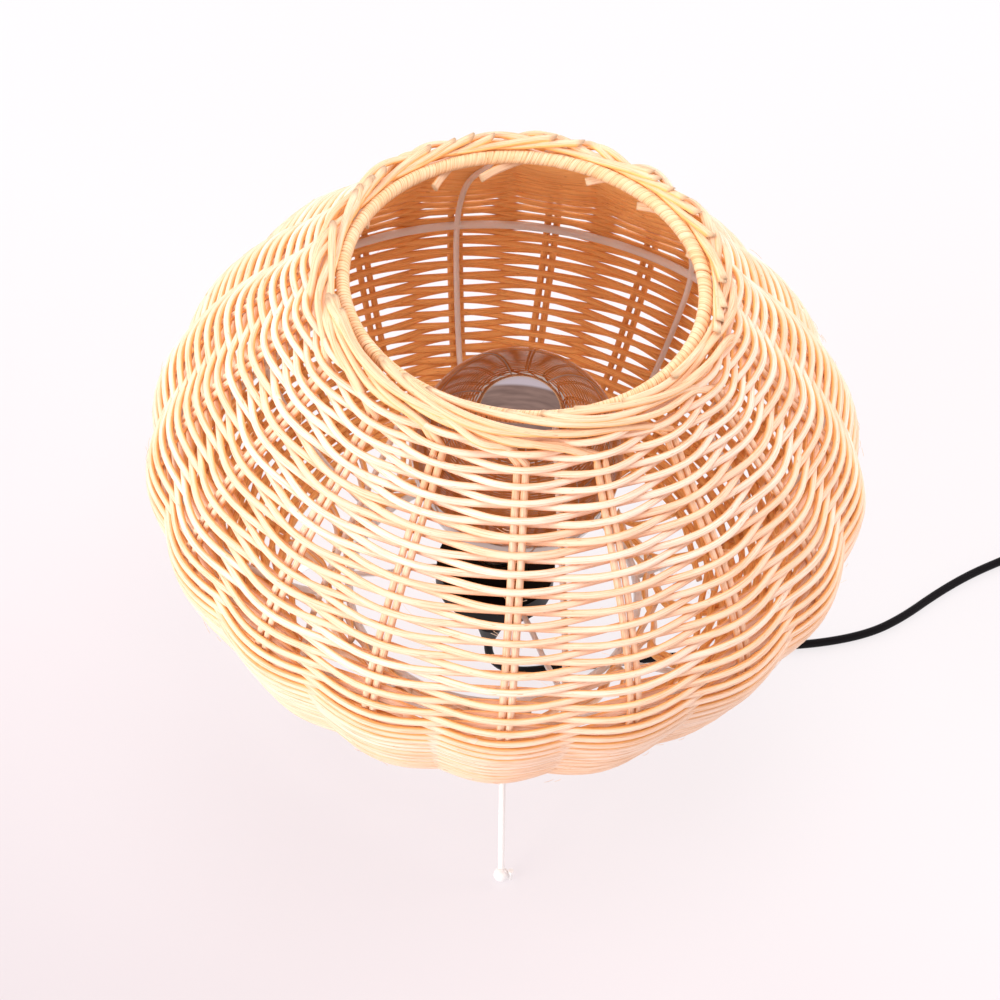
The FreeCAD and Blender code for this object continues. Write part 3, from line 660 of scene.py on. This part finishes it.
def turned_skin(name, outline, count=128):
    """A skin turned from an outline of radius and height that ends on the axis."""
    azimuths = np.linspace(0, 2 * math.pi, count, endpoint=False)
    rings = outline[:-1]
    points = [(r * math.cos(a), r * math.sin(a), z) for r, z in rings for a in azimuths]
    points.append((0.0, 0.0, outline[-1][1]))
    faces = []
    for ring in range(len(rings) - 1):
        for k in range(count):
            after = (k + 1) % count
            here = ring * count
            faces.append((here + k, here + after, here + count + after, here + count + k))
    last = (len(rings) - 1) * count
    faces += [(last + k, last + (k + 1) % count, len(points) - 1) for k in range(count)]
    mesh = bpy.data.meshes.new(name)
    mesh.from_pydata(points, [], faces)
    mesh.polygons.foreach_set("use_smooth", [True] * len(faces))
    piece = bpy.data.objects.new(name, mesh)
    bpy.context.collection.objects.link(piece)
    return piece


# ---------------------------------------------------------------- materials


def new_material(name):
    material = bpy.data.materials.new(name)
    material.use_nodes = True
    tree = material.node_tree
    return material, tree, tree.nodes["Principled BSDF"]


def add_node(tree, kind, **settings):
    item = tree.nodes.new(kind)
    for name, value in settings.items():
        if name in item.inputs:
            item.inputs[name].default_value = value
        else:
            setattr(item, name, value)
    return item


def noise_of(tree, vector, scale, detail=3.0, stretch=(1, 1, 1)):
    """A noise texture over stretched coordinates."""
    mapping = add_node(tree, "ShaderNodeMapping", Scale=stretch)
    tree.links.new(vector, mapping.inputs["Vector"])
    texture = add_node(tree, "ShaderNodeTexNoise", Scale=scale, Detail=detail)
    tree.links.new(mapping.outputs["Vector"], texture.inputs["Vector"])
    return texture.outputs["Fac"]


def ramp_of(tree, value, stops):
    ramp = add_node(tree, "ShaderNodeValToRGB")
    elements = ramp.color_ramp.elements
    while len(elements) < len(stops):
        elements.new(0.5)
    for element, (place, colour) in zip(elements, stops):
        element.position = place
        element.color = (*colour, 1.0)
    tree.links.new(value, ramp.inputs["Fac"])
    return ramp.outputs["Color"]


def mixed(tree, kind, first, second, share):
    """Two colours mixed by a share, which is a number or a socket."""
    mix = add_node(tree, "ShaderNodeMix", data_type="RGBA", blend_type=kind)
    for socket, value in ((0, share), (6, first), (7, second)):
        if hasattr(value, "links"):
            tree.links.new(value, mix.inputs[socket])
        else:
            mix.inputs[socket].default_value = value
    return mix.outputs[2]


def bumped(tree, shader, height, strength, distance):
    bump = add_node(tree, "ShaderNodeBump", Strength=strength, Distance=distance)
    tree.links.new(height, bump.inputs["Height"])
    tree.links.new(bump.outputs["Normal"], shader.inputs["Normal"])


# Colours of the rattan: pale and deep outside, a painted shade on the side that faces in, and at a cut
# end.
WEAVER_COLOURS = ((0.95, 0.73, 0.6), (0.92, 0.62, 0.44), (1.0, 0.54, 0.19), (0.93, 0.74, 0.58))
# The stakes' deep colour and cut end are darker than the weaver's: painted shade over the plait and on
# cut ends that face up.
STAKE_COLOURS = ((0.95, 0.74, 0.59), (0.83, 0.54, 0.34), (1.0, 0.54, 0.19), (0.6, 0.4, 0.24))
PEEL_COLOURS = ((0.91, 0.68, 0.46), (0.86, 0.55, 0.3), (0.6, 0.28, 0.1), (0.84, 0.58, 0.36))
# Where the painted shade on the side that faces in gives way to the outer colour, round a reed and
# round the peel; on the peel it also darkens the laps' edges as painted shade between them.
REED_EDGE = (0.0, 0.55)
PEEL_EDGE = (0.35, 0.9)


def reed_material(name, colours, edge):
    """Rattan: pale outside and a painted orange shade on the side that faces in, with fibres, blotches,
    flecks and cut ends.
    """
    pale, deep, painted_shade, cut = colours
    material, tree, shader = new_material(name)
    grain = add_node(tree, "ShaderNodeAttribute", attribute_name="grain").outputs["Vector"]
    skin = add_node(tree, "ShaderNodeAttribute", attribute_name="skin").outputs["Vector"]
    parts = add_node(tree, "ShaderNodeSeparateXYZ")
    tree.links.new(skin, parts.inputs[0])
    tone, side, ends = parts.outputs
    fibres = noise_of(tree, grain, 1.0, 4.0, (45, 2400, 2400))
    blotches = noise_of(tree, grain, 1.0, 3.0, (22, 90, 90))
    flecks = noise_of(tree, grain, 1.0, 2.0, (160, 1100, 1100))
    blend = add_node(tree, "ShaderNodeMath", operation="MULTIPLY_ADD")
    tree.links.new(tone, blend.inputs[0])
    blend.inputs[1].default_value = 0.6
    tree.links.new(blotches, blend.inputs[2])
    outer = ramp_of(tree, blend.outputs[0], ((0.4, pale), (1.0, deep)))
    # Painted light and shade: the part of a reed's round that faces out takes the outer colour, the
    # rest the painted shade.
    painted_light_share = ramp_of(tree, side, ((edge[0], (0, 0, 0)), (edge[1], (1, 1, 1))))
    base = mixed(tree, "MIX", (*painted_shade, 1.0), outer, painted_light_share)
    lines = ramp_of(tree, fibres, ((0.36, (0.74, 0.56, 0.4)), (0.5, (1, 1, 1))))
    striped = mixed(tree, "MULTIPLY", base, lines, 0.75)
    marks = ramp_of(tree, flecks, ((0.25, (0.55, 0.36, 0.22)), (0.31, (1, 1, 1))))
    marked = mixed(tree, "MULTIPLY", striped, marks, 0.8)
    tree.links.new(mixed(tree, "MIX", marked, (*cut, 1.0), ends), shader.inputs["Base Color"])
    shader.inputs["Roughness"].default_value = 0.58
    bumped(tree, shader, fibres, 0.7, 0.0003)
    return material


def coated_material(name, colour, roughness, grain_scale, bump, coat=0.0, shine=0.5):
    """Paint or moulded plastic: a fine skin with slight variation in tone and gloss."""
    material, tree, shader = new_material(name)
    place = add_node(tree, "ShaderNodeTexCoord").outputs["Object"]
    fine = noise_of(tree, place, grain_scale, 2.0)
    broad = noise_of(tree, place, 14.0, 3.0)
    darker = tuple(value * 0.86 for value in colour)
    tree.links.new(ramp_of(tree, broad, ((0.3, darker), (0.7, colour))), shader.inputs["Base Color"])
    glossy = (roughness * 0.85,) * 3
    matt = (min(1, roughness * 1.15),) * 3
    gloss = ramp_of(tree, broad, ((0.3, glossy), (0.7, matt)))
    tree.links.new(gloss, shader.inputs["Roughness"])
    shader.inputs["Coat Weight"].default_value = coat
    shader.inputs["Specular IOR Level"].default_value = shine
    bumped(tree, shader, fine, bump, 0.0003)
    return material


def metal_material(name, colour, roughness):
    material, tree, shader = new_material(name)
    place = add_node(tree, "ShaderNodeTexCoord").outputs["Object"]
    scratches = noise_of(tree, place, 1.0, 3.0, (90, 90, 1800))
    shader.inputs["Base Color"].default_value = (*colour, 1.0)
    shader.inputs["Metallic"].default_value = 1.0
    glossy = (roughness * 0.7,) * 3
    matt = (roughness * 1.3,) * 3
    gloss = ramp_of(tree, scratches, ((0.3, glossy), (0.7, matt)))
    tree.links.new(gloss, shader.inputs["Roughness"])
    bumped(tree, shader, scratches, 0.1, 0.0001)
    return material


def mirror_glass_material():
    """Half-mirrored smoke glass: a bronze mirror under a clear skin."""
    material, tree, shader = new_material("mirrored_glass")
    place = add_node(tree, "ShaderNodeTexCoord").outputs["Object"]
    haze = noise_of(tree, place, 9.0, 2.0)
    tone = ramp_of(tree, haze, ((0.3, (0.44, 0.34, 0.29)), (0.7, (0.49, 0.39, 0.34))))
    tree.links.new(tone, shader.inputs["Base Color"])
    shader.inputs["Metallic"].default_value = 1.0
    shader.inputs["Roughness"].default_value = 0.03
    shader.inputs["Coat Weight"].default_value = 0.25
    shader.inputs["Coat Roughness"].default_value = 0.02
    return material


# The floor's own light: colours at places along a way that runs to the far right.
GLOW_WAY = (0.6, 1.0, 0.0)
GLOW_SHIFT = 0.5
FLOOR_GLOW = ((0.0, (0.66, 0.58, 0.6)), (0.35, (0.77, 0.7, 0.72)), (0.7, (0.785, 0.755, 0.765)))


def floor_material():
    """A pale sheet that glows itself, and a little dimmer towards the near left."""
    material, tree, shader = new_material("floor")
    place = add_node(tree, "ShaderNodeTexCoord").outputs["Object"]
    broad = noise_of(tree, place, 1.6, 2.0)
    pale = ramp_of(tree, broad, ((0.3, (0.115, 0.11, 0.112)), (0.7, (0.125, 0.12, 0.122))))
    tree.links.new(pale, shader.inputs["Base Color"])
    shader.inputs["Roughness"].default_value = 0.6
    way = add_node(tree, "ShaderNodeVectorMath", operation="DOT_PRODUCT")
    tree.links.new(place, way.inputs[0])
    way.inputs[1].default_value = GLOW_WAY
    shifted = add_node(tree, "ShaderNodeMath", operation="ADD")
    tree.links.new(way.outputs["Value"], shifted.inputs[0])
    shifted.inputs[1].default_value = GLOW_SHIFT
    glow = ramp_of(tree, shifted.outputs[0], FLOOR_GLOW)
    tree.links.new(glow, shader.inputs["Emission Color"])
    shader.inputs["Emission Strength"].default_value = 1.0
    return material


def paint_nodes(material, *names):
    for name in names:
        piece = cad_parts[name]
        piece.data.materials.clear()
        piece.data.materials.append(material)


def dress_frame():
    """Materials of the pieces that stay as the model has them."""
    white = coated_material("white_wire", (0.86, 0.84, 0.83), 0.38, 900.0, 0.15, 0.2)
    wires = ["ring_belly", "ring_foot", "ring_head"]
    wires += [f"rib_{k}" for k in range(1, 9)]
    wires += [f"{part}_{k}" for part in ("leg", "foot", "arm") for k in (1, 2, 3)]
    paint_nodes(white, *wires)
    cup = coated_material("black_cup", (0.003, 0.003, 0.003), 0.42, 700.0, 0.12, shine=0.15)
    paint_nodes(cup, "holder_cup")
    black = coated_material("black_plastic", (0.006, 0.006, 0.006), 0.5, 1600.0, 0.25, shine=0.3)
    paint_nodes(black, "cord_grip", "holder_skirt", "coil_tie", "switch_lower", "switch_upper")
    paint_nodes(black, "plug_boot", "plug_body", "bulb_insulator")
    rocker = coated_material("rocker", (0.03, 0.03, 0.032), 0.3, 900.0, 0.1)
    paint_nodes(rocker, "switch_rocker")
    ceramic = coated_material("holder_ceramic", (0.8, 0.78, 0.72), 0.25, 300.0, 0.05, 0.4)
    paint_nodes(ceramic, "holder_base")
    steel = metal_material("steel", (0.62, 0.62, 0.61), 0.35)
    paint_nodes(steel, "nipple", "nipple_nut", "switch_screw_1", "switch_screw_2", "rocker_pin")
    brass = metal_material("brass_contact", (0.75, 0.56, 0.28), 0.3)
    paint_nodes(brass, "screw_shell", "centre_contact", "bulb_tip")
    paint_nodes(metal_material("nickel_cap", (0.76, 0.75, 0.72), 0.28), "bulb_cap")
    paint_nodes(metal_material("nickel_pins", (0.78, 0.77, 0.74), 0.16), "plug_pin_1", "plug_pin_2")
    stem = coated_material("stem_glass", (0.7, 0.72, 0.72), 0.1, 300.0, 0.02, 0.5)
    paint_nodes(stem, "bulb_stem")


def finish_piece(piece, material, slot, body, *nodes):
    piece.data.materials.clear()
    piece.data.materials.append(material)
    if nodes:
        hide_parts(*nodes)
    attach(piece, body)


# ---------------------------------------------------------------- studio


FLOOR_REACH = 9.0
WORLD_STRENGTH = 1.0
# The lights: name, place, size, power, colour, and whether gloss shows it.
LIGHTS = (
    ("key", (-1.7, -1.1, 1.1), 1.3, 37.0, (1.0, 0.97, 0.94), False),
    ("back", (-0.4, 2.4, 2.2), 1.8, 34.0, (1.0, 0.98, 0.99), False),
    ("top", (0.2, -0.3, 2.8), 1.6, 36.0, (1.0, 0.98, 0.98), False),
    ("low", (-1.0, -1.7, 0.35), 0.8, 7.0, (1.0, 0.99, 1.0), False),
    ("right", (1.8, 0.9, 1.0), 0.7, 12.0, (1.0, 0.98, 0.97), True),
)
LIT_POINT = (0, 0, 0.15)


def make_floor():
    mesh = bpy.data.meshes.new("floor")
    corners = [(x * FLOOR_REACH, y * FLOOR_REACH, 0) for x, y in ((-1, -1), (1, -1), (1, 1), (-1, 1))]
    mesh.from_pydata(corners, [], [(0, 1, 2, 3)])
    floor = bpy.data.objects.new("floor", mesh)
    bpy.context.collection.objects.link(floor)
    floor.data.materials.append(floor_material())


def make_area_light(name, place, size, power, colour, mirrored):
    data = bpy.data.lights.new(name, "AREA")
    data.shape = "DISK"
    data.size = size
    data.energy = power
    data.color = colour
    light = bpy.data.objects.new(name, data)
    light.location = place
    way = Vector(LIT_POINT) - Vector(place)
    light.rotation_euler = way.to_track_quat("-Z", "Y").to_euler()
    light.visible_glossy = mirrored
    bpy.context.collection.objects.link(light)


def make_world():
    """White walls all round, and a dimmer ceiling with a bright edge behind the lamp."""
    world = bpy.data.worlds.new("studio")
    world.use_nodes = True
    tree = world.node_tree
    way = add_node(tree, "ShaderNodeTexCoord").outputs["Generated"]
    parts = add_node(tree, "ShaderNodeSeparateXYZ")
    tree.links.new(way, parts.inputs[0])
    smears = noise_of(tree, way, 1.0, 2.0, (2.0, 9.0, 2.0))
    ceiling = ramp_of(tree, smears, ((0.35, (0.42, 0.33, 0.33)), (0.65, (0.64, 0.51, 0.5))))
    behind = ramp_of(tree, parts.outputs["Y"], ((0.57, (0, 0, 0)), (0.62, (1, 1, 1))))
    above = mixed(tree, "MIX", ceiling, (1.15, 1.2, 1.5, 1.0), behind)
    height = ramp_of(tree, parts.outputs["Z"], ((0.6, (0, 0, 0)), (0.72, (1, 1, 1))))
    sky = mixed(tree, "MIX", (1.0, 0.97, 0.985, 1.0), above, height)
    background = tree.nodes["Background"]
    tree.links.new(sky, background.inputs["Color"])
    background.inputs["Strength"].default_value = WORLD_STRENGTH
    bpy.context.scene.world = world


def make_studio():
    make_floor()
    make_world()
    for light in LIGHTS:
        make_area_light(*light)
    bpy.context.scene.view_settings.view_transform = "Standard"


def write_sizes():
    bpy.context.view_layer.update()


make_camera()
cord = make_cord()
make_studio()
dress_frame()
black_cord = coated_material("black_cord", (0.004, 0.003, 0.004), 0.45, 1200.0, 0.2, shine=0.12)
cord.data.materials.append(black_cord)

wall = Wall()
reed = reed_material("rattan", WEAVER_COLOURS, REED_EDGE)
peel = reed_material("rattan_peel", PEEL_COLOURS, PEEL_EDGE)
stake = reed_material("rattan_stakes", STAKE_COLOURS, REED_EDGE)
for number, band in enumerate(make_weave(wall)):
    finish_piece(band, reed, "rattan", "lamp", *(["woven_wall"] if number == 0 else []))
finish_piece(make_stakes(wall), stake, "rattan", "lamp", "border_head", "border_foot")
finish_piece(make_rim_peel(), peel, "rattan_peel", "lamp", "rim_wrap")
finish_piece(make_poking_ends(), stake, "rattan", "lamp")
finish_piece(make_fibres(wall), reed, "rattan", "lamp")
finish_piece(make_globe(), mirror_glass_material(), "mirrored_glass", "bulb", "bulb_globe")

write_sizes()
